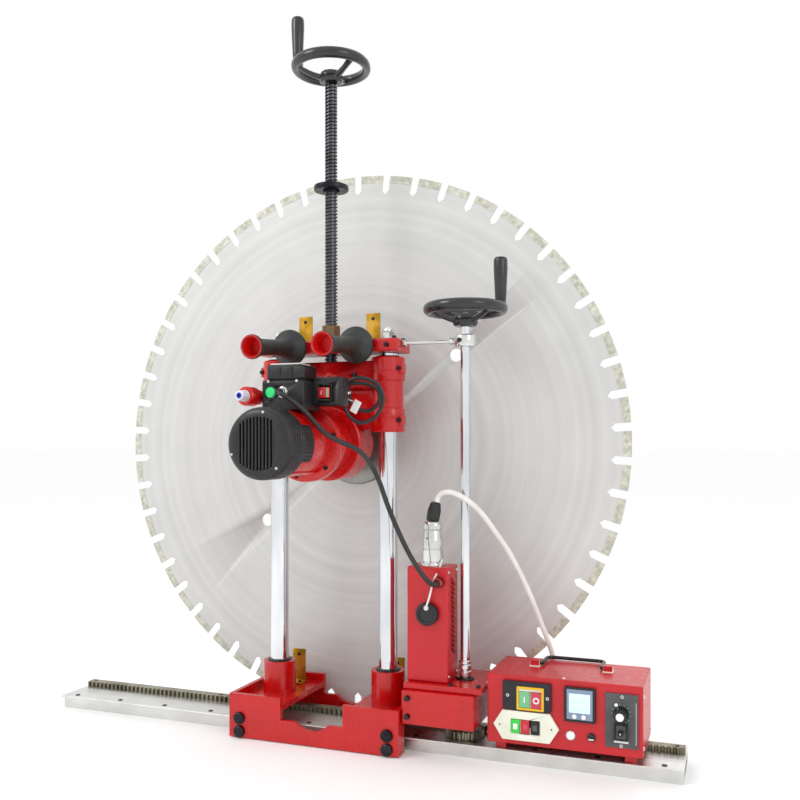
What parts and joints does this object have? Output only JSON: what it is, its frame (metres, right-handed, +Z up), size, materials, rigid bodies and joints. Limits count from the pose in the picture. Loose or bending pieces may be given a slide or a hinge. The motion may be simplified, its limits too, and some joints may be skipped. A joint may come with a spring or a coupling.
{
  "type": "rail mounted wall saw",
  "caption": "Rail-mounted concrete wall saw: large segmented disc on a motor carriage, two chrome columns, feed screw, traversing saddle, rail with rack and control box.",
  "frame": {"origin": "centre of the rail's underside, on the surface it lies on", "axes": "+X along the rail towards the control box, +Y from the operator towards the blade, +Z up"},
  "size_m": [1.14, 0.4002, 1.2503],
  "materials": {
    "rail_steel": "machined, bare",
    "rack_steel": "milled teeth, oiled",
    "red_enamel": "glossy red enamel over a casting",
    "box_red": "satin powder coat",
    "column_chrome": "hard chrome, ground",
    "screw_black": "blackened thread",
    "nut_bronze": "dull bronze",
    "wheel_black": "moulded phenolic",
    "grip_rubber": "moulded, matt",
    "cap_plastic": "moulded nylon",
    "motor_red": "glossy red enamel",
    "blade_steel": "ground disc",
    "flange_steel": "turned",
    "roller_steel": "black oxide",
    "zinc": "yellow zinc plate",
    "polished": "polished nickel",
    "panel_black": "moulded",
    "panel_white": "moulded",
    "panel_grey": "moulded",
    "button_green": "moulded",
    "button_red": "moulded",
    "button_black": "moulded",
    "cord_black": "cable sheath",
    "cord_white": "cable sheath"
  },
  "bodies": {
    "rail": {"rail": "rail_steel", "gear_rack": "rack_steel", "control_case": "box_red", "case_back": "box_red", "power_plate": "panel_black", "jog_plate": "panel_white", "speed_meter": "panel_black", "knob_plate": "panel_grey", "control_lead": "cord_white"},
    "start_button": {"start_button": "button_green"},
    "stop_button": {"stop_button": "button_red"},
    "forward_button": {"forward_button": "button_green"},
    "halt_button": {"halt_button": "button_red"},
    "reverse_button": {"reverse_button": "button_black"},
    "speed_knob": {"speed_knob": "button_black"},
    "toggle_lever": {"toggle_lever": "button_black"},
    "box_handle": {"box_handle": "wheel_black"},
    "saddle": {"saddle": "red_enamel", "left_column": "column_chrome", "right_column": "column_chrome", "head_plate": "red_enamel", "feed_nut": "nut_bronze", "left_carry_grip": "grip_rubber", "right_carry_grip": "grip_rubber", "drive_housing": "red_enamel", "drive_plate": "red_enamel", "rod_clamp": "polished", "stay_rod": "polished", "connector_box": "box_red", "socket_cap": "cap_plastic", "plug_shell": "polished", "plug_boot": "cap_plastic", "lower_guard_bracket_left": "zinc", "lower_guard_bracket_right": "zinc", "upper_guard_bracket_left": "zinc", "upper_guard_bracket_right": "zinc", "motor_lead": "cord_black"},
    "upper_roller_left": {"upper_roller_left": "roller_steel"},
    "upper_roller_right": {"upper_roller_right": "roller_steel"},
    "lower_roller_left": {"lower_roller_left": "roller_steel"},
    "lower_roller_right": {"lower_roller_right": "roller_steel"},
    "traverse_shaft": {"traverse_rod": "column_chrome", "pinion": "rack_steel", "traverse_handwheel": "wheel_black"},
    "traverse_crank_grip": {"traverse_crank_grip": "wheel_black"},
    "feed_screw": {"feed_screw": "screw_black", "feed_handwheel": "wheel_black"},
    "feed_crank_grip": {"feed_crank_grip": "wheel_black"},
    "carriage": {"carriage": "red_enamel", "motor_housing": "motor_red", "fan_cap": "cap_plastic", "gear_housing": "motor_red", "switch_box": "cap_plastic", "water_port": "motor_red", "switch_lead": "cord_black"},
    "motor_button": {"motor_button": "button_green"},
    "mains_rocker": {"mains_rocker": "button_red"},
    "spindle": {"spindle": "flange_steel", "flange_nut": "flange_steel", "blade": "blade_steel"}
  },
  "joints": [
    {"name": "traverse", "type": "slide", "parent": "rail", "child": "saddle", "axis": [-1, 0, 0], "range_m": [0, 0.385], "deforming": ["control_lead"]},
    {"name": "traverse_shaft_turn", "type": "hinge", "parent": "saddle", "child": "traverse_shaft", "pos_m": [0.223, -0.0176, 0.4], "axis": [0, 0, -1], "range_deg": [-5, 741]},
    {"name": "traverse_crank_spin", "type": "hinge", "parent": "traverse_shaft", "child": "traverse_crank_grip", "pos_m": [0.27973, -0.00554, 0.775], "axis": [0, 0, 1], "continuous": true},
    {"name": "feed_screw_turn", "type": "hinge", "parent": "carriage", "child": "feed_screw", "pos_m": [-0.022, -0.014, 0.9], "axis": [0, 0, -1], "range_deg": [-270, 13590]},
    {"name": "carriage_feed", "type": "slide", "parent": "saddle", "child": "carriage", "axis": [0, 0, -1], "range_m": [-0.004, 0.226], "deforming": ["motor_lead"]},
    {"name": "feed_crank_spin", "type": "hinge", "parent": "feed_screw", "child": "feed_crank_grip", "pos_m": [-0.07457, -0.03851, 1.21], "axis": [0, 0, 1], "continuous": true},
    {"name": "blade_spin", "type": "hinge", "parent": "carriage", "child": "spindle", "pos_m": [-0.022, 0.106, 0.506], "axis": [0, 1, 0], "continuous": true},
    {"name": "box_handle_swing", "type": "hinge", "parent": "rail", "child": "box_handle", "pos_m": [0.3925, 0.012, 0.1475], "axis": [1, 0, 0], "range_deg": [0, 150]},
    {"name": "speed_knob_turn", "type": "hinge", "parent": "rail", "child": "speed_knob", "pos_m": [0.4802, -0.073, 0.1001], "axis": [0, -1, 0], "range_deg": [0, 270]},
    {"name": "toggle_tilt", "type": "hinge", "parent": "rail", "child": "toggle_lever", "pos_m": [0.4802, -0.0696, 0.0735], "axis": [1, 0, 0], "range_deg": [-10, 10]},
    {"name": "mains_rocker_tilt", "type": "hinge", "parent": "carriage", "child": "mains_rocker", "pos_m": [0.03, -0.152, 0.587], "axis": [1, 0, 0], "range_deg": [-8, 8]},
    {"name": "start_button_press", "type": "slide", "parent": "rail", "child": "start_button", "axis": [0, 1, 0], "range_m": [0, 0.0025], "stiffness_N_per_m": 400, "springref_m": -0.001},
    {"name": "stop_button_press", "type": "slide", "parent": "rail", "child": "stop_button", "axis": [0, 1, 0], "range_m": [0, 0.0025], "stiffness_N_per_m": 400, "springref_m": -0.001},
    {"name": "forward_button_press", "type": "slide", "parent": "rail", "child": "forward_button", "axis": [0, 1, 0], "range_m": [0, 0.0025], "stiffness_N_per_m": 400, "springref_m": -0.001},
    {"name": "halt_button_press", "type": "slide", "parent": "rail", "child": "halt_button", "axis": [0, 1, 0], "range_m": [0, 0.0025], "stiffness_N_per_m": 400, "springref_m": -0.001},
    {"name": "reverse_button_press", "type": "slide", "parent": "rail", "child": "reverse_button", "axis": [0, 1, 0], "range_m": [0, 0.0025], "stiffness_N_per_m": 400, "springref_m": -0.001},
    {"name": "motor_button_press", "type": "slide", "parent": "carriage", "child": "motor_button", "axis": [0, 1, 0], "range_m": [0, 0.0025], "stiffness_N_per_m": 400, "springref_m": -0.001},
    {"name": "upper_roller_left_roll", "type": "hinge", "parent": "saddle", "child": "upper_roller_left", "pos_m": [-0.158, -0.075, 0.0348], "axis": [0, 1, 0], "range_deg": [-2111, 2111]},
    {"name": "upper_roller_right_roll", "type": "hinge", "parent": "saddle", "child": "upper_roller_right", "pos_m": [0.114, -0.075, 0.0348], "axis": [0, 1, 0], "range_deg": [-2111, 2111]},
    {"name": "lower_roller_left_roll", "type": "hinge", "parent": "saddle", "child": "lower_roller_left", "pos_m": [-0.158, -0.075, 0.0122], "axis": [0, 1, 0], "range_deg": [-2606, 2606]},
    {"name": "lower_roller_right_roll", "type": "hinge", "parent": "saddle", "child": "lower_roller_right", "pos_m": [0.114, -0.075, 0.0122], "axis": [0, 1, 0], "range_deg": [-2606, 2606]}
  ],
  "couplings": [
    {"joint": "traverse_shaft_turn", "follows": "traverse", "rad_per_m": 33.333},
    {"joint": "feed_screw_turn", "follows": "carriage_feed", "rad_per_m": 1047.2},
    {"joint": "upper_roller_left_roll", "follows": "traverse", "rad_per_m": -95.238},
    {"joint": "upper_roller_right_roll", "follows": "traverse", "rad_per_m": -95.238},
    {"joint": "lower_roller_left_roll", "follows": "traverse", "rad_per_m": 117.65},
    {"joint": "lower_roller_right_roll", "follows": "traverse", "rad_per_m": 117.65}
  ]
}
